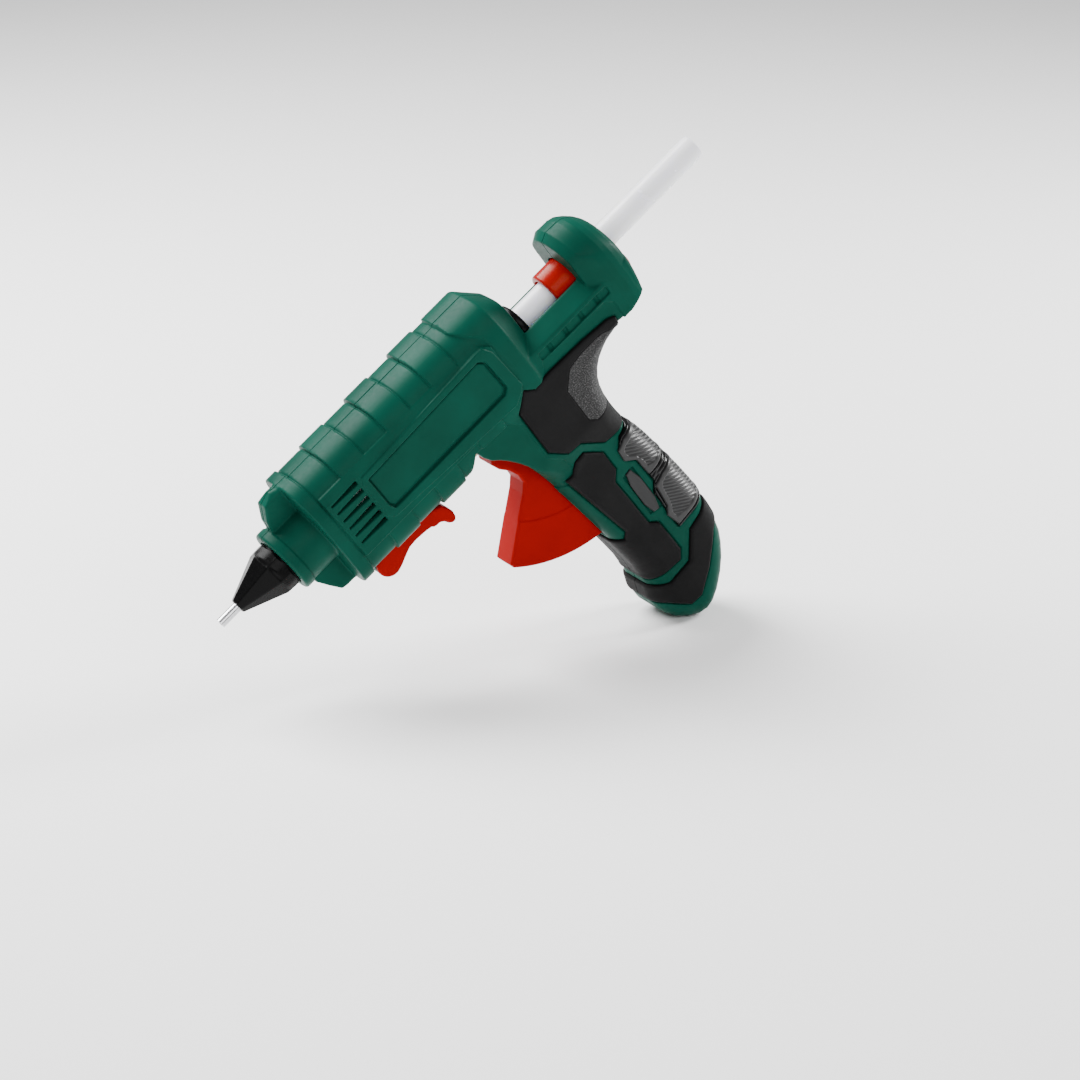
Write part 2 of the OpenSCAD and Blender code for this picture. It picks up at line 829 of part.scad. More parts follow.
module housing_screws() {
    color("#a8abb0") pitched() for (p = screw_places) {
        bar_y(p, -8.8, 12.1, screw_r);
        bar_y(p, 12, 14.2, screw_head_r);
    }
}

housing_left();
housing_right();
nozzle_cover();
nozzle();
valve_ball();
valve_spring();
melt_chamber();
heater();
heater_wedge();
thermal_fuse();
front_bracket();
rear_bracket();
inlet_sleeve();
glue_stick();
carriage();
grip_jaw();
jaw_pin();
link_arm();
link_pin_front();
link_pin_rear();
trigger();
trigger_pin();
trigger_spring();
stand_lever();
stand_pin();
upper_grip_left();
upper_grip_right();
lower_grip_left();
lower_grip_right();
back_panel();
back_pad_upper();
back_pad_lower();
heel_left();
heel_right();
side_label();
status_lens();
status_board();
status_led();
contact_block();
contact_sockets();
lead_live();
lead_neutral();
housing_screws();
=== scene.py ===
"""A hot glue gun in its rest attitude, nose down on its foot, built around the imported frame.

Pieces are drawn in the gun's own frame, in millimetres: x runs back along the barrel from
the nozzle tip, z is up from the handle and y is across, with the left side at y < 0.
Moulded pieces are signed distance fields, meshed on a fine grid, so that their rings,
grooves and rounded edges are real geometry.
"""
import json
import math

import bmesh
import bpy
import numpy as np
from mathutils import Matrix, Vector


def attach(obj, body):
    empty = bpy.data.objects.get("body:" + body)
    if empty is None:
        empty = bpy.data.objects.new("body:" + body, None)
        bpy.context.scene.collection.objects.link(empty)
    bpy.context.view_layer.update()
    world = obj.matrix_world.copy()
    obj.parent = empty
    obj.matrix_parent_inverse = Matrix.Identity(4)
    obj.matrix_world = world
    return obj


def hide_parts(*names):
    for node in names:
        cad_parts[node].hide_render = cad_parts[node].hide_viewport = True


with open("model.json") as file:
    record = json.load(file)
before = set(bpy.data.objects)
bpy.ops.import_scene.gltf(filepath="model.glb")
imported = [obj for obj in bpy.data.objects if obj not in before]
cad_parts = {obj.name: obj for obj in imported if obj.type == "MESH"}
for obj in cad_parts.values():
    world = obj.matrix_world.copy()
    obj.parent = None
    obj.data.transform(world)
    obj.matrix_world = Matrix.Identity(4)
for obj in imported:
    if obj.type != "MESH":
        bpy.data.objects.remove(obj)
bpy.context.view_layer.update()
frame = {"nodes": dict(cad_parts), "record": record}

# ---------------------------------------------------------------- places

MOUNTS = {m["name"]: m for m in frame["record"]["mounts"]}
TUBE = MOUNTS["nozzle_tube"]
BACK = -Vector(TUBE["axis"])
TIP = Vector(TUBE["pos_m"]) - BACK * TUBE["dims"]["length_mm"] / 2000
UP = Vector((-BACK.z, 0, BACK.x))

BARREL_FRONT = 52.3
REAR_FACE = 167
CAVITY_REAR = 160
COLLAR_FRONT = 198
COLLAR_REAR = 218
WALL = 2.6
TRIGGER_PIVOT = (152.4, -31.4)
STAND_PIVOT = (66, -34.6)
TRIGGER_HALF = 6.5
CARRIAGE_R = 8.8
STICK_R = 5.6
LENS_Z = -11.5
LENS_SEAT_R = 6.55
SCREW_HEAD_Y = 12
SCREWS = [(62, -19.5), (112, -19.5), (136, 18), (157, 17), (208, 14), (172, -44),
          (150, -122), (174, -134)]

PITCH = math.atan2(BACK.z, BACK.x)
FOOT_FRONT = (145.5, -157.4)
FOOT_LEN = 11.5
FOOT_REAR = (FOOT_FRONT[0] + FOOT_LEN * math.cos(PITCH), FOOT_FRONT[1] - FOOT_LEN * math.sin(PITCH))
FOOT_MID = ((FOOT_FRONT[0] + FOOT_REAR[0]) / 2, (FOOT_FRONT[1] + FOOT_REAR[1]) / 2)

HANDLE = [(217.5, 2), (166, 2), (140, -5), (118, -15), (121, -26), (126, -30.5),
          (132, -40), (135, -49), (137.4, -60), (139.6, -75), (142.2, -97), (143.8, -110),
          (144.9, -124), (143.2, -132), (140.4, -140), (140.6, -148), FOOT_FRONT, FOOT_REAR,
          (164, -162.2), (175.4, -152), (182.6, -140.5), (184.6, -132), (185.4, -122),
          (185, -105), (182.9, -87.5), (181, -73), (178.4, -64.7), (177.2, -55.9),
          (176.8, -47.6), (178.6, -38.4), (183.2, -31.8), (190.4, -27.8), (198.6, -25),
          (203, -23.7), (215.7, -20.2), (218, -4.5)]
UPPER_GRIP = [(195.4, -17.4), (182.6, -16.1), (163.8, -15.3), (154.1, -16), (150.1, -12.4),
              (142.9, -19.3), (142.6, -42.4), (149.2, -50.2), (155.8, -51),
              (164.6, -60.6), (173, -61.6), (183, -62.5), (182, -48),
              (184, -37), (188, -31), (195, -27), (199, -24.5), (199.2, -19)]
TEXTURE_INSET = [(179, -19.3), (170.6, -20.6), (164.2, -27.6), (164.1, -45), (167.3, -48),
                 (190, -48), (200, -36), (200, -24), (190, -19.6)]
# Where the handle's side is a step lower: ahead of the upper grip, and along its upper edge
LOW_FRONT = [(118.6, -17.8), (136.7, -18.6), (141.3, -23.9), (141.1, -44.6), (146, -50.6),
             (147.6, -57), (143, -64), (110, -64), (110, -30)]
LOW_EDGE = [(163.9, -9.9), (199, -10.8), (202.4, -14), (202.6, -24), (196, -30), (160, -17)]
LOWER_GRIP = [(154.4, -56.1), (149.5, -56.8), (145.7, -60.7), (141.8, -61.5), (146, -86),
              (148.5, -100.4), (146.5, -103.9), (141.5, -102), (136, -103.7),
              (136, -124), (144.6, -129.5), (159.8, -130.7), (162.7, -126.6),
              (162.3, -108.9), (158.6, -105.3), (157.9, -78.4), (161.5, -74.2),
              (161.5, -63.8)]
HEEL = [(195, -117.9), (179.6, -121.1), (171.1, -123.3), (162.4, -134.7), (150, -135.6),
        (144.2, -132.8), (130, -128), (130, -134), (144, -142.9), (151.7, -151.6),
        (157.8, -152), (167.6, -144.7), (179, -133), (195, -127.7)]
PAD_UPPER = [(195, -66), (171.6, -65.6), (166.5, -68), (166, -73.8), (170.4, -77.6),
             (171, -87.3), (195, -86)]
PAD_LOWER = [(195, -91.7), (176.2, -91.7), (170.3, -93.9), (169.1, -105.5),
             (166.6, -109), (168.2, -116.4), (195, -113.8)]
BACK_PANEL = [(195, -64), (171, -64), (167.5, -68.5), (167.5, -75), (171, -78),
              (171.4, -92), (168, -97), (168, -118), (195, -117)]
LABEL = [(167.4, -79.2), (161.9, -80), (161.7, -103), (167.5, -104)]
PANEL = [(76.8, 13.8), (144, 16.6), (146.9, 16.4), (149.4, 11.7), (151.1, -8.8),
         (149.4, -11), (144, -14.3), (77.6, -10.3), (75.1, -7.5), (75.6, 11.1)]
PANEL_FLOOR = [(78.4, 11.1), (142.1, 13.3), (144.8, 10.6), (145.4, -4.8), (142.8, -7),
               (83, -7.4), (79.8, -7.3), (78.4, -4.2)]
REAR_BLOCK = [(141.7, 40), (141.7, 26.4), (150.6, 18.2), (152.4, -3.2), (150.6, -9.3),
              (150.6, -40), (160, -40), (160, 40)]
STAND = [(66, -29), (74, -28.9), (82, -29.2), (96.5, -30.8), (99.9, -37.2), (99.2, -42.4),
         (96, -42.4), (93.6, -38), (89.9, -37.8), (88.5, -36.2), (78, -35.3), (73, -37.5),
         (69, -39.6), (66, -40.2)]

# ---------------------------------------------------------------- distance fields


def smooth_max(a, b, r):
    """The larger of two fields, with the edge between them rounded over r."""
    h = np.maximum(r - np.abs(a - b), 0) / r
    return np.maximum(a, b) + h * h * r / 4


def smooth_min(a, b, r):
    return -smooth_max(-a, -b, r)


def polygon(points, u, v):
    """Signed distance to a closed outline in the plane (u, v), negative inside."""
    near = None
    inside = False
    for (ax, ay), (bx, by) in zip(points, points[1:] + points[:1]):
        ex, ey = bx - ax, by - ay
        wx, wy = u - ax, v - ay
        t = np.clip((wx * ex + wy * ey) / (ex * ex + ey * ey), 0, 1)
        gap = (wx - ex * t) ** 2 + (wy - ey * t) ** 2
        near = gap if near is None else np.minimum(near, gap)
        if ey != 0:
            inside = inside ^ (((ay > v) != (by > v)) & (u < ex * (v - ay) / ey + ax))
    return np.where(inside, -1.0, 1.0) * np.sqrt(near)


def softened(points, passes=2):
    """Cuts an outline's corners into arcs, by Chaikin's rule."""
    for _ in range(passes):
        points = [((1 - t) * a[0] + t * b[0], (1 - t) * a[1] + t * b[1])
                  for a, b in zip(points, points[1:] + points[:1]) for t in (0.25, 0.75)]
    return points


def slab(outline, across, half, r):
    """An outline extruded to |across| < half, with its edges rounded to radius r."""
    p, q = outline + r, across - half + r
    return np.hypot(np.maximum(p, 0), np.maximum(q, 0)) + np.minimum(np.maximum(p, q), 0) - r


def box2(u, v, u0, u1, v0, v1, r=0.01):
    p = np.abs(u - (u0 + u1) / 2) - (u1 - u0) / 2 + r
    q = np.abs(v - (v0 + v1) / 2) - (v1 - v0) / 2 + r
    return np.hypot(np.maximum(p, 0), np.maximum(q, 0)) + np.minimum(np.maximum(p, q), 0) - r


def oval(y, z, a, b, n):
    """Nearly the distance to a superellipse of half width a and half height b."""
    y, z = np.abs(y) + 1e-3, np.abs(z) + 1e-3
    g = ((y / a) ** n + (z / b) ** n) ** (1 / n)
    slope = np.sqrt((y ** (n - 1) / a ** n) ** 2 + (z ** (n - 1) / b ** n) ** 2) * g ** (1 - n)
    return (g - 1) / slope


# ---------------------------------------------------------------- meshing


def grid_surface(field, lo, hi, step):
    """Surface nets: one point per cell that the surface crosses, then a quad per crossed edge."""
    axes = [np.arange(l, h + step, step, dtype=np.float32) for l, h in zip(lo, hi)]
    x, y, z = axes[0][:, None, None], axes[1][None, :, None], axes[2][None, None, :]
    shape = tuple(len(a) for a in axes)
    values = np.ascontiguousarray(np.broadcast_to(field(x, y, z), shape), dtype=np.float32)
    inside = values < 0
    low = (slice(None, -1),) * 3
    some = inside[low].copy()
    every = inside[low].copy()
    corners = [(i, j, k) for i in (0, 1) for j in (0, 1) for k in (0, 1)]
    for c in corners[1:]:
        part = inside[tuple(slice(o, n - 1 + o) for o, n in zip(c, shape))]
        some |= part
        every &= part
    cells = np.argwhere(some & ~every)
    index = np.full(tuple(n - 1 for n in shape), -1, dtype=np.int32)
    index[tuple(cells.T)] = np.arange(len(cells), dtype=np.int32)
    total = np.zeros((len(cells), 3))
    count = np.zeros(len(cells))
    at = {c: values[tuple((cells + c).T)] for c in corners}
    for a in corners:
        for axis in range(3):
            if a[axis]:
                continue
            b = tuple(1 if i == axis else a[i] for i in range(3))
            cross = (at[a] < 0) != (at[b] < 0)
            t = at[a][cross] / (at[a][cross] - at[b][cross])
            point = np.array(a, dtype=float) + np.outer(t, np.array(b) - np.array(a))
            total[cross] += point
            count[cross] += 1
    points = (cells + total / count[:, None]) * step + np.array([a[0] for a in axes])
    quads = []
    for axis in range(3):
        u, v = [i for i in range(3) if i != axis]
        first = [slice(None)] * 3
        second = [slice(None)] * 3
        first[axis], second[axis] = slice(None, -1), slice(1, None)
        for other in (u, v):
            first[other] = second[other] = slice(1, -1)
        a, b = inside[tuple(first)], inside[tuple(second)]
        for turned in (False, True):
            edge = np.argwhere(b & ~a if turned else a & ~b)
            edge[:, u] += 1
            edge[:, v] += 1
            ring = []
            for du, dv in ((0, 0), (1, 0), (1, 1), (0, 1)):
                cell = edge.copy()
                cell[:, u] -= 1 - du
                cell[:, v] -= 1 - dv
                ring.append(index[tuple(cell.T)])
            quad = np.stack(ring, axis=1)
            if turned ^ (axis == 1):
                quad = quad[:, ::-1]
            quads.append(quad)
    return points, np.concatenate(quads)


def settle(field, points, step):
    """Moves the points onto the surface, along the field's slope."""
    e = step * 0.2
    value = field(*points.T)
    slope = np.stack([field(*(points + d).T) - value for d in np.eye(3) * e], axis=1) / e
    size = np.maximum((slope ** 2).sum(axis=1), 0.2)
    move = -slope * (value / size)[:, None]
    length = np.linalg.norm(move, axis=1, keepdims=True)
    return points + move * np.minimum(1, 0.45 * step / np.maximum(length, 1e-9))


def to_row(points):
    """Gun frame in millimetres to the stored frame in metres."""
    turn = np.array([BACK, (0, 1, 0), UP])
    return np.asarray(points) / 1000 @ turn + np.array(TIP)


def mesh_piece(name, points, faces, body, materials, replaces):
    """A piece from points in the gun's frame, riding on a body in place of CAD nodes."""
    mesh = bpy.data.meshes.new(name)
    if isinstance(faces, np.ndarray):
        mesh.vertices.add(len(points))
        mesh.vertices.foreach_set("co", to_row(points).astype(np.float32).ravel())
        mesh.loops.add(faces.size)
        mesh.loops.foreach_set("vertex_index", faces.astype(np.int32).ravel())
        mesh.polygons.add(len(faces))
        starts = np.arange(0, faces.size, faces.shape[1], dtype=np.int32)
        mesh.polygons.foreach_set("loop_start", starts)
        mesh.update(calc_edges=True)
    else:
        mesh.from_pydata(to_row(points).tolist(), [], faces)
    mesh.validate()
    mesh.polygons.foreach_set("use_smooth", [True] * len(mesh.polygons))
    for m in materials:
        mesh.materials.append(m)
    piece = bpy.data.objects.new(name, mesh)
    bpy.context.scene.collection.objects.link(piece)
    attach(piece, body)
    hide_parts(*replaces)
    return piece


def moulded(name, field, lo, hi, step, body, slot, materials, replaces, keep=1.0):
    """A piece made from a field; keep below 1 thins its mesh where it is flat."""
    step *= 1
    points, faces = grid_surface(field, lo, hi, step)
    points = settle(field, points, step)
    piece = mesh_piece(name, points, faces, body, materials, replaces)
    if keep < 1:
        thin = piece.modifiers.new("thin", "DECIMATE")
        thin.ratio = keep
        with bpy.context.temp_override(object=piece, active_object=piece):
            bpy.ops.object.modifier_apply(modifier=thin.name)
    return piece


def to_gun(points):
    """Stored frame in metres to the gun frame in millimetres."""
    turn = np.array([BACK, (0, 1, 0), UP])
    return (np.asarray(points) - np.array(TIP)) @ turn.T * 1000


def paint(piece, index, test):
    """Gives the material of that index to the faces whose middle passes the test."""
    mesh = piece.data
    middles = np.zeros(len(mesh.polygons) * 3)
    mesh.polygons.foreach_get("center", middles)
    chosen = test(*to_gun(middles.reshape(-1, 3)).T)
    given = np.zeros(len(mesh.polygons), dtype=np.int32)
    mesh.polygons.foreach_get("material_index", given)
    given[chosen] = index
    mesh.polygons.foreach_set("material_index", given)
    mesh.update()


def turned(name, profile, body, slot, materials, replaces, sides=96):
    """A solid of revolution about the barrel's axis; profile is a closed list of (x, r)."""
    rows = len(profile)
    points = [(x, r * math.cos(a), r * math.sin(a)) for k in range(sides)
              for a in [2 * math.pi * k / sides] for x, r in profile]
    faces = [(k * rows + i, k * rows + j, n * rows + j, n * rows + i)
             for k in range(sides) for n in [(k + 1) % sides]
             for i in range(rows) for j in [(i + 1) % rows]]
    piece = mesh_piece(name, points, faces, body, materials, replaces)
    shape = bmesh.new()
    shape.from_mesh(piece.data)
    bmesh.ops.remove_doubles(shape, verts=shape.verts, dist=1e-7)
    bmesh.ops.recalc_face_normals(shape, faces=shape.faces)
    shape.to_mesh(piece.data)
    shape.free()
    return piece


# ---------------------------------------------------------------- materials


def material(name, colour, roughness, metallic=0.0, **sockets):
    """A new material and its shader, with the given uniform values on the shader."""
    m = bpy.data.materials.new(name)
    m.use_nodes = True
    shader = m.node_tree.nodes["Principled BSDF"]
    shader.inputs["Base Color"].default_value = (*colour, 1)
    shader.inputs["Roughness"].default_value = roughness
    shader.inputs["Metallic"].default_value = metallic
    for key, value in sockets.items():
        shader.inputs[key.replace("_", " ")].default_value = value
    return m, shader


def noise(m, scale, detail=3.0, stretch=(1, 1, 1)):
    """A texture in the piece's own coordinates; scale is in cycles per metre."""
    nodes, links = m.node_tree.nodes, m.node_tree.links
    place = nodes.new("ShaderNodeTexCoord")
    turn = nodes.new("ShaderNodeMapping")
    turn.inputs["Scale"].default_value = stretch
    texture = nodes.new("ShaderNodeTexNoise")
    texture.inputs["Scale"].default_value = scale
    texture.inputs["Detail"].default_value = detail
    links.new(place.outputs["Object"], turn.inputs["Vector"])
    links.new(turn.outputs["Vector"], texture.inputs["Vector"])
    return texture


def spread(m, texture, low, high, socket):
    """Feeds a texture's value, mapped to low..high, into a socket."""
    ramp = m.node_tree.nodes.new("ShaderNodeMapRange")
    ramp.inputs["From Min"].default_value = 0.3
    ramp.inputs["From Max"].default_value = 0.7
    ramp.inputs["To Min"].default_value = low
    ramp.inputs["To Max"].default_value = high
    m.node_tree.links.new(texture.outputs["Fac"], ramp.inputs["Value"])
    m.node_tree.links.new(ramp.outputs["Result"], socket)


def tint(m, texture, dark, light, socket):
    """Feeds a colour that drifts between two shades into a socket."""
    ramp = m.node_tree.nodes.new("ShaderNodeValToRGB")
    ramp.color_ramp.elements[0].position = 0.35
    ramp.color_ramp.elements[1].position = 0.65
    ramp.color_ramp.elements[0].color = (*dark, 1)
    ramp.color_ramp.elements[1].color = (*light, 1)
    m.node_tree.links.new(texture.outputs["Fac"], ramp.inputs["Fac"])
    m.node_tree.links.new(ramp.outputs["Color"], socket)


def bump(m, shader, texture, depth, strength):
    """Grain of the given depth in metres."""
    node = m.node_tree.nodes.new("ShaderNodeBump")
    node.inputs["Distance"].default_value = depth
    node.inputs["Strength"].default_value = strength
    m.node_tree.links.new(texture.outputs["Fac"], node.inputs["Height"])
    m.node_tree.links.new(node.outputs["Normal"], shader.inputs["Normal"])


def shade(colour, by):
    return tuple(min(1.0, c * by) for c in colour)


def moulded_plastic(name, colour, roughness, grain=0.00003, scale=2600, vary=0.12, gloss=0.25,
                    glint=(1, 1, 1)):
    """Spark-eroded plastic: fine grain, slight drift of colour and sheen."""
    m, shader = material(name, colour, roughness, Specular_IOR_Level=gloss,
                         Specular_Tint=(*glint, 1))
    tint(m, noise(m, 45), shade(colour, 1 - vary), shade(colour, 1 + vary),
         shader.inputs["Base Color"])
    spread(m, noise(m, 700, 4), roughness - 0.05, roughness + 0.06, shader.inputs["Roughness"])
    bump(m, shader, noise(m, scale, 2), grain, 0.35)
    return m


def rubber(name, colour, roughness, grain, scale, gloss=0.07):
    m, shader = material(name, colour, roughness, Specular_IOR_Level=gloss)
    tint(m, noise(m, 60), shade(colour, 0.85), shade(colour, 1.2), shader.inputs["Base Color"])
    spread(m, noise(m, 900, 4), roughness - 0.07, roughness + 0.05, shader.inputs["Roughness"])
    bump(m, shader, noise(m, scale, 2), grain, 0.4)
    return m


def metal(name, colour, roughness, stretch=(1, 1, 1), scale=1800):
    """Bare metal with fine tool marks along one direction."""
    m, shader = material(name, colour, roughness, metallic=1.0)
    marks = noise(m, scale, 3, stretch)
    spread(m, marks, roughness - 0.06, roughness + 0.08, shader.inputs["Roughness"])
    tint(m, noise(m, 120), shade(colour, 0.9), shade(colour, 1.08), shader.inputs["Base Color"])
    bump(m, shader, marks, 0.00001, 0.25)
    return m


GREEN = moulded_plastic("green_moulding", (0.0006, 0.048, 0.031), 0.4, gloss=0.04)
WARM = (1, 0.55, 0.36)
RED = moulded_plastic("red_moulding", (0.25, 0.0015, 0.0015), 0.42, vary=0.06, gloss=0.04,
                      glint=WARM)
RED_GLOSS = moulded_plastic("red_polished", (0.26, 0.002, 0.0015), 0.26, 0.000012, 2000, 0.05,
                            gloss=0.16, glint=WARM)
RUBBER = rubber("soft_grip", (0.0062, 0.0062, 0.0064), 0.6, 0.00004, 2200)
RUBBER_RIM = rubber("soft_grip_plain", (0.017, 0.017, 0.0175), 0.36, 0.00002, 3000, 0.3)
GLOSS_TRIM = moulded_plastic("glossy_trim", (0.005, 0.005, 0.0053), 0.14, 0.000006, 1500, 0.05)
NOZZLE_RUBBER = rubber("nozzle_silicone", (0.0022, 0.0022, 0.0023), 0.3, 0.00001, 1800)
PLATE = moulded_plastic("label_plate", (0.013, 0.0135, 0.014), 0.4, 0.00001, 3000)
BLACK = moulded_plastic("black_moulding", (0.012, 0.012, 0.0125), 0.45)
CHROME = metal("plated_tube", (0.62, 0.62, 0.64), 0.2)
STEEL = metal("zinc_plate", (0.42, 0.42, 0.44), 0.38, (1, 6, 1))
ALLOY = metal("die_cast", (0.5, 0.51, 0.52), 0.5, scale=900)
BRASS = metal("plated_brass", (0.6, 0.42, 0.17), 0.3)
CERAMIC = moulded_plastic("ceramic", (0.3, 0.27, 0.22), 0.75, 0.00003, 1500)
BOARD = moulded_plastic("heatproof_board", (0.55, 0.45, 0.27), 0.7, 0.00004, 900)
CIRCUIT = moulded_plastic("circuit_lacquer", (0.01, 0.12, 0.03), 0.3, 0.00001, 800)
LEAD_BROWN = rubber("brown_sleeve", (0.12, 0.05, 0.02), 0.5, 0.00001, 1500)
LEAD_BLUE = rubber("blue_sleeve", (0.015, 0.06, 0.25), 0.5, 0.00001, 1500)


def speckled():
    """The grip's rough inset: pale grains thinly scattered on black."""
    colour = (0.012, 0.012, 0.0124)
    m, shader = material("speckled_grip", colour, 0.7, Specular_IOR_Level=0.25)
    grains = noise(m, 1900, 1.5)
    ramp = m.node_tree.nodes.new("ShaderNodeValToRGB")
    ramp.color_ramp.elements[0].position = 0.48
    ramp.color_ramp.elements[1].position = 0.68
    ramp.color_ramp.elements[0].color = (*colour, 1)
    ramp.color_ramp.elements[1].color = (0.066, 0.066, 0.066, 1)
    m.node_tree.links.new(grains.outputs["Fac"], ramp.inputs["Fac"])
    m.node_tree.links.new(ramp.outputs["Color"], shader.inputs["Base Color"])
    bump(m, shader, grains, 0.0001, 0.6)
    return m


def hot_melt():
    """Milky see-through glue, smooth, with faint flow lines along the stick."""
    m, shader = material("hot_melt", (0.93, 0.93, 1.0), 0.22, Subsurface_Weight=0.8,
                         Subsurface_Scale=0.006, Transmission_Weight=0.2, IOR=1.4)
    shader.inputs["Subsurface Radius"].default_value = (1, 1, 1.15)
    flow = noise(m, 160, 2)
    spread(m, flow, 0.18, 0.28, shader.inputs["Roughness"])
    tint(m, noise(m, 30, 2), (0.87, 0.87, 0.94), (0.93, 0.93, 0.98),
         shader.inputs["Base Color"])
    bump(m, shader, flow, 0.00002, 0.15)
    return m


def clear_red():
    m, shader = material("clear_red", (0.55, 0.012, 0.01), 0.18, Transmission_Weight=0.35,
                         Subsurface_Weight=0.3, Subsurface_Scale=0.003)
    spread(m, noise(m, 600), 0.14, 0.24, shader.inputs["Roughness"])
    tint(m, noise(m, 150), (0.5, 0.01, 0.008), (0.6, 0.015, 0.012), shader.inputs["Base Color"])
    return m


SPECKLED = speckled()
HOT_MELT = hot_melt()
CLEAR_RED = clear_red()

# ---------------------------------------------------------------- housing

RINGS = [(52.3, 0.3), (58.3, -0.8), (70.9, 0.4), (84.5, -0.3), (96.8, 1.0), (110.3, 0.2),
         (121.8, 1.5), (136, 0.7)]
RING_STEPS = [(40, 0.3), (51, 0.3)]
for (_, before), (edge, after) in zip(RINGS, RINGS[1:]):
    bottom = min(before, after) - 0.35
    RING_STEPS += [(edge - 0.6, before), (edge - 0.2, bottom), (edge + 0.2, bottom),
                   (edge + 0.6, after)]
RING_STEPS += [(170, 0.7)]
STEP_X, STEP_H = np.array(RING_STEPS).T
BLOCK_LIFT = 1.0
BEVEL_X = 158.3

# The collar: x, height of its top, height of its round part's centre, half width
COLLAR_X, COLLAR_TOP, COLLAR_MID, COLLAR_HALF = np.array([
    (190, 18.6, 0, 14.6), (198, 18.6, 0, 14.6), (202, 20.9, 0, 16.9), (206.5, 20.7, 0, 19.3),
    (208, 20.7, 0, 19.4), (210.8, 20, -0.4, 19.4), (213.5, 18, -1.8, 18.9),
    (216.1, 15.3, -3.7, 17.6), (218, 12.5, -5.5, 16.4)]).T
HANDLE_SOFT = softened(HANDLE, 1)


def barrel_field(x, y, z):
    """The barrel: raised rings, a rear block with a bevelled end, and a squarer lower half."""
    side = 0.25 + 0.75 * np.clip(np.abs(z) / 26, 0, 1) ** 2
    block = np.clip(0.5 - polygon(REAR_BLOCK, x, z) / 0.8, 0, 1)
    lift = np.interp(x, STEP_X, STEP_H) + BLOCK_LIFT * block
    base = oval(y, z, 19.5, np.where(z > 0, 26.5, 27.1), np.where(z > 0, 3, 4))
    skin = smooth_max(base - lift * side, BARREL_FRONT - x, 0.9)
    bevel = (base - 1.7 * side + x - BEVEL_X) * 0.707
    return smooth_max(smooth_max(skin, bevel, 0.7), x - REAR_FACE, 0.8)


def side_field(x, y, z):
    """Flat field on the barrel's side, sloped at its top, with the raised frame of the panel."""
    wide = [(150.5, -9), (150.5, 13.5), (145.4, 18.6), (58.6, 18.6), (58.6, -14), (144, -14)]
    slope = (np.abs(y) - 19.85 + 0.76 * np.maximum(z - 15.2, 0)) * 0.85
    field = smooth_max(polygon(wide, x, z), slope, 0.5)
    frame_edge = smooth_max(polygon(PANEL, x, z), np.abs(y) - 20.5, 0.5)
    return smooth_min(field, frame_edge, 0.2)


def panel_recess(x, y, z):
    out = np.abs(y)
    floor = polygon(PANEL_FLOOR, x, z)
    groove = np.maximum(np.abs(floor + 0.5) - 0.4, 18.6 - out)
    return np.minimum(smooth_max(floor, 19.4 - out, 0.4), groove)


def nose_field(x, y, z):
    r = np.hypot(y, z)
    ring = smooth_max(smooth_max(r - 14.5, 34 - x, 1.6), x - 38.7, 0.6)
    neck = np.maximum(r - 13.9, np.abs(x - 46) - 8)
    out = np.abs(y)
    top = [(38.6, 12), (53, 12), (53, 26.4), (48.4, 27.4), (43.2, 25.4), (39.8, 19)]
    low = [(38.6, -12), (39.2, -17), (42.2, -22.4), (45.2, -27.2), (48, -28.3), (53, -28.3),
           (53, -12)]
    taper = 2.6 + 0.1 * (np.abs(z) - 13)
    wings = np.minimum(polygon(top, x, z), polygon(low, x, z))
    wings = smooth_max(wings, out - taper, 1.0)
    wings = smooth_max(wings, (out + np.where(z > 0, z - 29, -z - 31)) * 0.707, 0.8)
    return smooth_min(smooth_min(ring, neck, 0.5), wings, 0.8)


def collar_field(x, y, z):
    top, middle, half = (np.interp(x, COLLAR_X, v) for v in (COLLAR_TOP, COLLAR_MID, COLLAR_HALF))
    round_part = np.hypot(y, np.maximum(z - middle, 0)) - (top - middle)
    shape = smooth_max(round_part, np.abs(y) - half, 1.6) * 0.8
    shape = smooth_max(shape, COLLAR_FRONT - x, 0.6)
    shape = smooth_max(shape, x - COLLAR_REAR, 0.6)
    sole = polygon([(197, 25), (197, -24.6), (203, -23.7), (215.7, -20.2), (219.4, -5),
                    (219.4, 25)], x, z)
    return smooth_max(shape, sole, 1.2)


def handle_half_width(z):
    t = np.clip((z + 62) / 16, 0, 1)
    return 15.4 + 2.6 * t * t * (3 - 2 * t)


def handle_field(x, y, z):
    """The handle and spine; the neck's rear edges are much rounder than its front ones."""
    neck = np.clip((z + 60) / 16, 0, 1)
    rear = np.clip((x - 152) / 24, 0, 1) * np.clip((204 - x) / 8, 0, 1)
    sharp = 1.8 + 7.6 * rear * rear * (3 - 2 * rear) * np.clip((-18 - z) / 8, 0, 1)
    r = 9 + (sharp - 9) * neck * neck * (3 - 2 * neck)
    body = slab(polygon(HANDLE_SOFT, x, z), np.abs(y), handle_half_width(z), r)
    rim = smooth_max((z + 0.64 * np.abs(y) - 7.4) * 0.842, z - 0.75, 0.15)
    return smooth_max(body, rim, 0.6)


def outer_field(x, y, z):
    body = smooth_min(barrel_field(x, y, z), side_field(x, y, z), 0.2)
    body = smooth_max(body, -panel_recess(x, y, z), 0.3)
    body = smooth_min(body, nose_field(x, y, z), 1.2)
    body = smooth_min(body, handle_field(x, y, z), 1.0)
    return smooth_min(body, collar_field(x, y, z), 0.8)


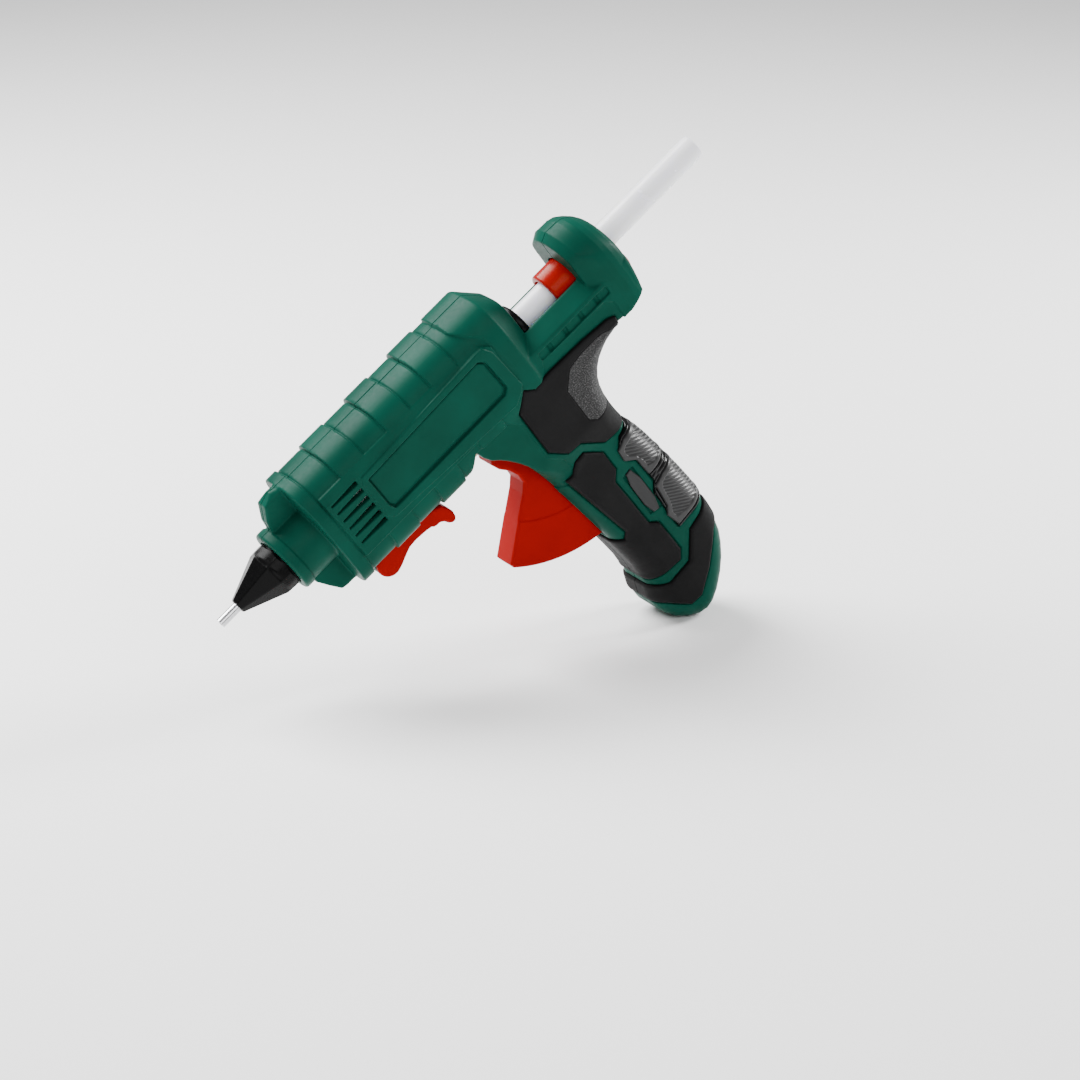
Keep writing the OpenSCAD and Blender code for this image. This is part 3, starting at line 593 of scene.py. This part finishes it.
def trough_field(x, y, z):
    r = np.hypot(y, np.minimum(z, 0)) - CARRIAGE_R - 0.5
    trough = np.maximum(np.maximum(r, 160 - x), x - COLLAR_FRONT)
    trough = np.maximum(trough, -z - 12)
    round_r = np.hypot(y, z)
    through = np.maximum(round_r - CARRIAGE_R - 0.5, np.maximum(COLLAR_FRONT - 4 - x, x - 213.9))
    lip = np.maximum(round_r - 9.9, np.maximum(REAR_FACE - x, x - 170.9))
    stick = np.maximum(round_r - STICK_R - 0.6, 210 - x)
    slot = np.maximum(box2(x, z, 162, 212, -20, -6), np.abs(y) - 5.6)
    trough = np.maximum(trough, REAR_FACE - x)
    return np.minimum(np.minimum(np.minimum(trough, through), np.minimum(lip, stick)), slot)


def cavity_field(x, y, z):
    """Everything that is open inside the shells."""
    out = np.abs(y)
    r = np.hypot(y, z)
    barrel = np.maximum(oval(y, z, 19.6 - WALL, 26.6 - WALL, 3),
                        np.maximum(BARREL_FRONT + WALL - x, x - CAVITY_REAR))
    bore = np.maximum(r - 10.9, np.maximum(33 - x, x - 44.2))
    bore = np.minimum(bore, np.maximum(r - 12.9, np.maximum(44 - x, x - BARREL_FRONT - 4)))
    bore = np.minimum(bore, np.maximum(r - 9.05, np.maximum(158 - x, x - REAR_FACE - 1)))
    inner = polygon(HANDLE, x, z) + WALL
    low = np.maximum(out - 12.4, -141 - z)
    handle = np.maximum(np.maximum(inner, low), np.where(x > CAVITY_REAR, z + 12.5, -1))
    handle = np.maximum(handle, handle_field(x, y, z) + 2)
    slot = polygon([(118, -22), (118, -34), (124, -90), (136, -100), (150, -101), (150, -22)],
                   x, z)
    slot = np.maximum(slot, out - TRIGGER_HALF - 0.4)
    return np.minimum(np.minimum(barrel, bore),
                      np.minimum(np.minimum(handle, slot), trough_field(x, y, z)))


def vents_field(x, y, z):
    gap = None
    for k in range(6):
        middle = 13.6 - 4.3 * k
        slot = polygon([(74.5, middle + 1.05), (74.5, middle - 1.05), (60.5, middle - 0.4),
                        (60.5, middle + 0.4)], x, z)
        gap = slot if gap is None else np.minimum(gap, slot)
    return np.maximum(gap, 14 - np.abs(y))


def foot_openings(x, y, z):
    """The plug's mouth and the contact block's pocket, upright in the rest attitude."""
    along = (x - FOOT_MID[0]) * BACK.x - (z - FOOT_MID[1]) * BACK.z
    up = (x - FOOT_MID[0]) * BACK.z + (z - FOOT_MID[1]) * BACK.x
    out = np.abs(y)
    mouth = np.maximum(box2(along, up, -4, 4, -5, 6.2), out - 7.6)
    pocket = np.maximum(box2(along, up, -5.1, 5.1, 6, 30), out - 8.5)
    ribs = np.maximum(np.abs(np.mod(along + 1, 2) - 1) - 0.45, np.abs(up) - 1.2)
    ribs = np.maximum(np.maximum(ribs, np.abs(along) - 5), 8.4 - out)
    return np.minimum(np.minimum(mouth, pocket), ribs)


# The groove along the spine and the notches below it, with how far out their floors lie
PAD_GAP = 0.5
GROOVE = (164, 203.6, -9.8, -5.8)
GROOVE_FLOOR = 16.95
NOTCHES = [(169.3 + 9.05 * k, 171.4 + 9.05 * k) for k in range(4)]
NOTCH_FLOOR = 16.2


def recess(field, skin, outline, x, z, depth=0.9, gap=PAD_GAP):
    """Sinks the shell under a grip, a little wider than the grip, so that a fine gap shows."""
    seat = np.maximum(polygon(outline, x, z) - gap, -(skin + depth))
    return np.maximum(field, -seat)


def shell_field(side):
    """One housing half; side is -1 for the left. Its own y is mirrored onto y < 0."""
    def field(x, y, z):
        skin = handle_field(x, y, z)
        body = outer_field(x, y, z)
        for outline in (LOW_FRONT, LOW_EDGE):
            body = smooth_max(body, -np.maximum(polygon(outline, x, z), -(skin + 0.5)), 0.3)
        for outline in (UPPER_GRIP, LOWER_GRIP, HEEL, BACK_PANEL):
            body = recess(body, skin, outline, x, z)
        if side < 0:
            body = recess(body, skin, LABEL, x, z, gap=0.2)
        groove = np.maximum(box2(x, z, *GROOVE, 0.8), GROOVE_FLOOR + y)
        for x0, x1 in NOTCHES:
            notch = np.maximum(box2(x, z, x0, x1, -9.8, -6.1), NOTCH_FLOOR + y)
            groove = np.minimum(groove, notch)
        body = smooth_max(body, -groove, 0.3)
        body = np.maximum(body, -cavity_field(x, y, z))
        body = smooth_max(body, -vents_field(x, y, z), 0.4)
        body = np.maximum(body, -foot_openings(x, y, z))
        lens = np.hypot(y, z - LENS_Z) - LENS_SEAT_R
        body = np.maximum(body, -np.maximum(lens, 210 - x))
        lug = np.minimum(box2(x, z, 60.6, 71.4, STAND_PIVOT[1], -24),
                         np.hypot(x - STAND_PIVOT[0], z - STAND_PIVOT[1]) - 5.4)
        body = np.minimum(body, np.maximum(lug, np.abs(y) - 2.5))
        if side > 0:
            for sx, sz in SCREWS:
                well = np.maximum(np.hypot(x - sx, z - sz) - 2.9, SCREW_HEAD_Y + y)
                body = smooth_max(body, -well, 0.4)
        return smooth_max(body, y + 0.015, 0.22)
    return field


def mirrored(field):
    return lambda x, y, z: field(x, -y, z)


def mirrored_box(lo, hi):
    return (lo[0], -hi[1], lo[2]), (hi[0], -lo[1], hi[2])


def housing(name, side):
    field = shell_field(side)
    lo, hi = (33, -21.4, -166), (219, 0.4, 29.4)
    if side > 0:
        field = mirrored(field)
        lo, hi = mirrored_box(lo, hi)
    return moulded(name, field, lo, hi, 0.4, "gun", "green_shell", [GREEN], [name], keep=0.42)


housing("housing_left", -1)
housing("housing_right", 1)


# ---------------------------------------------------------------- grips and trim


def layer(outline, top, r, seam=0.04, base=0.72):
    """A soft layer on the handle inside an outline; top gives how far it stands out."""
    def field(x, y, z):
        skin = handle_field(x, y, z)
        body = smooth_max(skin - top(x, y, z), polygon(outline, x, z), r)
        body = np.maximum(body, -(skin + base))
        return smooth_max(body, y + seam, 0.3) if seam is not None else body
    return field


def fine_line(edge, width=0.35, depth=0.35):
    """Depth of a hairline groove along edge = 0."""
    return depth * np.clip(1 - np.abs(edge) / width, 0, 1)


def upper_top(x, y, z):
    inset = polygon(TEXTURE_INSET, x, z)
    return 1.1 - fine_line(inset) - 0.1 * np.clip(-inset - 0.2, 0, 1)


def plain_top(x, y, z):
    return 1.0 + 0 * x


def ribbed(outline, rim):
    """A pad with a smooth rim and a sunk, finely ribbed face; the ribs lie level at rest."""
    face_edge = softened(outline, 1)

    def top(x, y, z):
        edge = polygon(face_edge, x, z) + rim
        face = np.clip(-edge / 0.4, 0, 1)
        level = (x * BACK.z + z * BACK.x) + 0.35 * np.sin(y * 0.55)
        ribs = 0.16 * np.sin(level * 2 * np.pi / 1.45)
        return 1.5 + face * (ribs - 0.32)
    return top


def ridged_top(x, y, z):
    """The glossy panel between the pads: ridges that echo the pads' edges."""
    top = 0.5 + 0 * y
    for outline in (PAD_UPPER, PAD_LOWER):
        edge = polygon(outline, x, z)
        for place in (1.0, 3.1):
            top = top + 0.75 * np.clip(1.3 - np.abs(edge - place) / 0.5, 0, 1)
    return np.minimum(top, 1.25)


def both_sides(name, field, lo, hi, step, slot, materials):
    """The same soft layer on the left half and, mirrored, on the right."""
    made = []
    right = mirrored(with_screw_holes(field))
    for side, shape, box in (("left", field, (lo, hi)), ("right", right, mirrored_box(lo, hi))):
        node = f"{name}_{side}"
        made.append(moulded(node, shape, *box, step, "gun", slot, materials, [node]))
    return made


def with_screw_holes(field):
    def holed(x, y, z):
        body = field(x, y, z)
        for sx, sz in SCREWS:
            well = np.maximum(np.hypot(x - sx, z - sz) - 3.1, SCREW_HEAD_Y + y)
            body = smooth_max(body, -well, 0.3)
        return body
    return holed


GRIP_LO, GRIP_HI = (139, -21, -66), (201, 0.3, -10)
for piece in both_sides("upper_grip", layer(UPPER_GRIP, upper_top, 1.4), GRIP_LO, GRIP_HI, 0.3,
                        "grip_rubber", [RUBBER, SPECKLED]):
    paint(piece, 1, lambda x, y, z: (polygon(TEXTURE_INSET, x, z) < -0.3) & (np.abs(y) > 0.1))
both_sides("lower_grip", layer(LOWER_GRIP, plain_top, 1.6), (134, -18, -132), (165, 0.3, -54), 0.3,
           "grip_rubber", [RUBBER])
both_sides("heel", layer(HEEL, plain_top, 1.6), (134, -18, -154), (189, 0.3, -116), 0.3,
           "grip_rubber", [RUBBER])

for name, outline in (("back_pad_upper", PAD_UPPER), ("back_pad_lower", PAD_LOWER)):
    low = min(z for _, z in outline) - 1
    high = max(z for _, z in outline) + 1
    piece = moulded(name, layer(outline, ribbed(outline, 1.9), 0.8, seam=None, base=-0.1),
                    (162, -18.5, low), (191, 18.5, high), 0.28, "gun", "grip_rubber",
                    [RUBBER_RIM], [name])
moulded("back_panel", layer(BACK_PANEL, ridged_top, 0.6, seam=None), (163, -17.8, -121),
        (190, 17.8, -62), 0.28, "gun", "gloss_trim", [GLOSS_TRIM], ["back_panel"])
moulded("side_label", layer(softened(LABEL, 1), lambda x, y, z: 0.45 + 0 * x, 0.3, seam=6),
        (160, -17, -106), (169, -6, -77), 0.25, "gun", "label_plate", [PLATE], ["side_label"])

# ---------------------------------------------------------------- trigger, stand and feed

TRIGGER_FRONT = [(124.9, -33), (123.9, -36), (125.2, -39.8), (128, -43.6), (129.8, -48.4),
                 (129.6, -52.6), (126.4, -56.4), (120, -62), (112, -69.2), (103.6, -76.8)]
TRIGGER_SWEEP_R = 67.8
TRIGGER_SWEEP = [(TRIGGER_PIVOT[0] + TRIGGER_SWEEP_R * math.cos(math.radians(a)),
                  TRIGGER_PIVOT[1] + TRIGGER_SWEEP_R * math.sin(math.radians(a)))
                 for a in np.linspace(224.5, 264, 14)]
TRIGGER = TRIGGER_FRONT + TRIGGER_SWEEP + [(158.6, -34.4), (156.4, -26.4), (134, -29.4)]
ARM_TURN = math.radians(13)
ARM_END = (TRIGGER_PIVOT[0] + 18 * math.sin(ARM_TURN), TRIGGER_PIVOT[1] + 18 * math.cos(ARM_TURN))


def near_segment(u, v, a, b):
    """Distance in the plane to the segment from a to b."""
    e = (b[0] - a[0], b[1] - a[1])
    t = np.clip(((u - a[0]) * e[0] + (v - a[1]) * e[1]) / (e[0] ** 2 + e[1] ** 2), 0, 1)
    return np.hypot(u - a[0] - e[0] * t, v - a[1] - e[1] * t)


def trigger_field(x, y, z):
    out = np.abs(y)
    from_pivot = np.hypot(x - TRIGGER_PIVOT[0], z - TRIGGER_PIVOT[1])
    half = TRIGGER_HALF - 0.3 * np.clip((48 - from_pivot) / 0.5, 0, 1)
    blade = slab(polygon(TRIGGER, x, z), out, half, 1.2)
    arm = np.maximum(near_segment(x, z, TRIGGER_PIVOT, ARM_END) - 2.9, out - 2)
    boss = np.maximum(from_pivot - 6, out - 7)
    body = np.minimum(np.minimum(blade, arm), boss)
    body = np.maximum(body, 2.05 - from_pivot)
    return np.maximum(body, 1.5 - np.hypot(x - ARM_END[0], z - ARM_END[1]))


def stand_field(x, y, z):
    out = np.abs(y)
    from_pin = np.hypot(x - STAND_PIVOT[0], z - STAND_PIVOT[1])
    side = np.minimum(polygon(softened(STAND, 1), x, z), from_pin - 5.6)
    body = slab(side, out, 5, 1.2)
    body = smooth_max(body, -np.maximum(out - 2.8, x - 73.6), 0.3)
    return np.maximum(body, -np.maximum(from_pin - 1.55, out - 4.5))


def carriage_field(x, y, z):
    r = np.hypot(y, z)
    tube = smooth_max(smooth_max(r - CARRIAGE_R, 187 - x, 1.4), x - 212.5, 0.6)
    out = np.abs(y)
    lug = np.maximum(polygon([(188.5, -4), (188.5, -16.8), (197.5, -16.8), (199, -4)], x, z),
                     out - 2)
    cheeks = smooth_max(box2(x, z, 200, 209.5, -16.4, -4, 0.5), out - 5, 0.6)
    body = np.minimum(smooth_min(tube, cheeks, 0.8), lug)
    body = smooth_max(body, STICK_R + 0.4 - r, 0.8)
    body = np.maximum(body, 1.5 - np.hypot(x - 193, z + 13.8613))
    body = np.maximum(body, 1.2 - np.hypot(x - 206, z + 13))
    return np.maximum(body, -np.maximum(box2(x, z, 199.5, 211.5, -18, -4), out - 1.9))


def cover_field(x, y, z):
    """The nozzle's cover: an eight-sided cone that runs into a round collar."""
    r = np.hypot(y, z)
    flats = None
    for k in range(8):
        a = math.radians(45 * k + 22.5)
        flat = y * math.cos(a) + z * math.sin(a)
        flats = flat if flats is None else smooth_max(flats, flat, 0.25)
    size = np.interp(x, [9.5, 27.3, 31.5, 44.5], [3.1, 9.8, 10.05, 10.1])
    cone = smooth_max((flats - size) * 0.94, 9.5 - x, 0.6)
    cone = np.maximum(cone, x - 33)
    collar = smooth_max(smooth_max(r - 10.35, 27.9 - x, 1.5), x - 44.5, 0.2)
    flange = np.maximum(np.maximum(r - 12.6, 44.5 - x), x - 47)
    bore = r - np.interp(x, [9, 12, 30, 47.5], [2.05, 2.05, 7, 7])
    return np.maximum(smooth_min(np.minimum(cone, flange), collar, 0.5), -bore)


def lens_field(x, y, z):
    r = np.hypot(y, z - LENS_Z)
    base = np.maximum(np.maximum(r - LENS_SEAT_R + 0.05, 213.9 - x), x - COLLAR_REAR)
    cap = np.hypot(np.hypot(y / 9.6, (z + 13) / 6.8), (x - 217.5) / 5)
    dome = np.maximum((cap - 1) * 4, 218.05 - x)
    hollow = np.maximum(r - 4.2, x - 218.6)
    body = np.maximum(np.minimum(base, dome), -hollow)
    return np.maximum(body, z + 7)


moulded("trigger", trigger_field, (101, -7.4, -99), (162, 7.4, -9), 0.35, "trigger",
        "red_plastic", [RED], ["trigger"])
moulded("stand_lever", stand_field, (59.5, -5.4, -43.5), (101, 5.4, -28), 0.28, "stand",
        "red_plastic", [RED], ["stand_lever"])
moulded("carriage", carriage_field, (186.3, -9.3, -17.6), (213.2, 9.3, 9.3), 0.3, "carriage",
        "red_plastic", [RED_GLOSS], ["carriage"])
moulded("nozzle_cover", cover_field, (8.8, -13.2, -13.2), (47.8, 13.2, 13.2), 0.28, "gun",
        "nozzle_rubber", [NOZZLE_RUBBER], ["nozzle_cover"])
moulded("status_lens", lens_field, (213.3, -10, -20.2), (222.8, 10, -6.4), 0.2, "gun",
        "lamp_red", [CLEAR_RED], ["status_lens"])

turned("inlet_sleeve", [(126, 7.7), (126, 9), (167, 9), (167, 9.3), (167.3, 9.7), (169.4, 9.7),
                        (170.2, 9.4), (170.6, 8.7), (170.6, 7), (170.2, 6.2), (169.4, 5.95),
                        (134, 5.95), (134, 7.7)],
       "gun", "sleeve_rubber", [NOZZLE_RUBBER], ["inlet_sleeve"])
turned("glue_stick", [(74, 0), (74, 5.3), (74.12, 5.5), (74.4, 5.6), (140, 5.6), (206, 5.6),
                      (273.5, 5.6), (273.85, 5.5), (274, 5.3), (274, 0)],
       "glue_stick", "hot_melt", [HOT_MELT], ["glue_stick"])


def screw_field(x, y, z):
    """One screw along y, with a pan head and a cross recess; the origin is under its head."""
    r = np.hypot(x, z)
    head = smooth_max(np.maximum(r - 2.7, -y), np.hypot(r, y + 1.6) - 3.8, 0.3)
    shaft = np.maximum(r - 1.38, np.maximum(y - 0.1, -20.8 - y))
    cross = np.minimum(np.maximum(np.abs(x) - 0.4, np.abs(z) - 1.6),
                       np.maximum(np.abs(z) - 0.4, np.abs(x) - 1.6))
    return np.maximum(np.minimum(head, shaft), -np.maximum(cross, 0.9 - y))


points, faces = grid_surface(screw_field, (-3, -21.2, -3), (3, 2.6, 3), 0.2)
points = settle(screw_field, points, 0.2)
places = np.concatenate([points + (sx, SCREW_HEAD_Y, sz) for sx, sz in SCREWS])
rings = np.concatenate([faces + k * len(points) for k in range(len(SCREWS))])
mesh_piece("housing_screws", places, rings, "gun", [STEEL], ["housing_screws"])

FINISH = {"nozzle": CHROME, "valve_ball": CHROME, "valve_spring": CHROME, "melt_chamber": ALLOY,
          "heater": CERAMIC, "heater_wedge": ALLOY, "thermal_fuse": CERAMIC,
          "front_bracket": BOARD, "rear_bracket": BOARD, "grip_jaw": STEEL, "jaw_pin": CHROME,
          "link_arm": STEEL, "link_pin_front": CHROME, "link_pin_rear": CHROME,
          "trigger_pin": CHROME, "trigger_spring": CHROME, "stand_pin": CHROME,
          "status_board": CIRCUIT, "status_led": CLEAR_RED, "contact_block": BLACK,
          "contact_sockets": BRASS, "lead_live": LEAD_BROWN, "lead_neutral": LEAD_BLUE}
for node, finish in FINISH.items():
    mesh = frame["nodes"][node].data
    mesh.materials.clear()
    mesh.materials.append(finish)

# ---------------------------------------------------------------- camera, floor and lights

CAMERA_FROM_TIP = Vector((-0.48976, -1.06453, 0.47775))
LOOK_DOWN, TURN = math.radians(20.799), math.radians(30.863)
camera = bpy.data.objects.new("camera", bpy.data.cameras.new("camera"))
camera.location = TIP + CAMERA_FROM_TIP
camera.rotation_euler = (math.pi / 2 - LOOK_DOWN, 0, -TURN)
camera.data.lens = 106.67
camera.data.sensor_width = 36
bpy.context.scene.collection.objects.link(camera)
bpy.context.scene.camera = camera

floor_mesh = bpy.data.meshes.new("floor")
floor_mesh.from_pydata([(-6, -6, 0), (6, -6, 0), (6, 6, 0), (-6, 6, 0)], [], [(0, 1, 2, 3)])
floor = bpy.data.objects.new("floor", floor_mesh)
floor_finish, floor_shader = material("floor", (0.9, 0.9, 0.9), 0.8, Specular_IOR_Level=0.1)
spread(floor_finish, noise(floor_finish, 8), 0.76, 0.84, floor_shader.inputs["Roughness"])
floor_mesh.materials.append(floor_finish)
bpy.context.scene.collection.objects.link(floor)

world = bpy.data.worlds.new("studio")
world.use_nodes = True
world.node_tree.nodes["Background"].inputs["Color"].default_value = (1, 1, 1, 1)
world.node_tree.nodes["Background"].inputs["Strength"].default_value = 0.4
bpy.context.scene.world = world

MIDDLE = Vector((0, 0, 0.1))


def soft_light(name, direction, distance, size, power):
    """A rectangular light at a distance from the gun's middle, in a direction from it."""
    lamp = bpy.data.lights.new(name, "AREA")
    lamp.shape = "RECTANGLE"
    lamp.size, lamp.size_y = size
    lamp.energy = power
    holder = bpy.data.objects.new(name, lamp)
    holder.location = MIDDLE + Vector(direction).normalized() * distance
    holder.rotation_euler = (MIDDLE - holder.location).to_track_quat("-Z", "Y").to_euler()
    bpy.context.scene.collection.objects.link(holder)


soft_light("key_above_left", (-0.35, 0.55, 0.75), 1.1, (0.9, 0.7), 46)
soft_light("front_high", (-0.1, -0.86, 0.49), 1.5, (1.2, 0.8), 12)
soft_light("rim_right", (0.92, -0.05, 0.42), 1.2, (0.3, 0.5), 20)
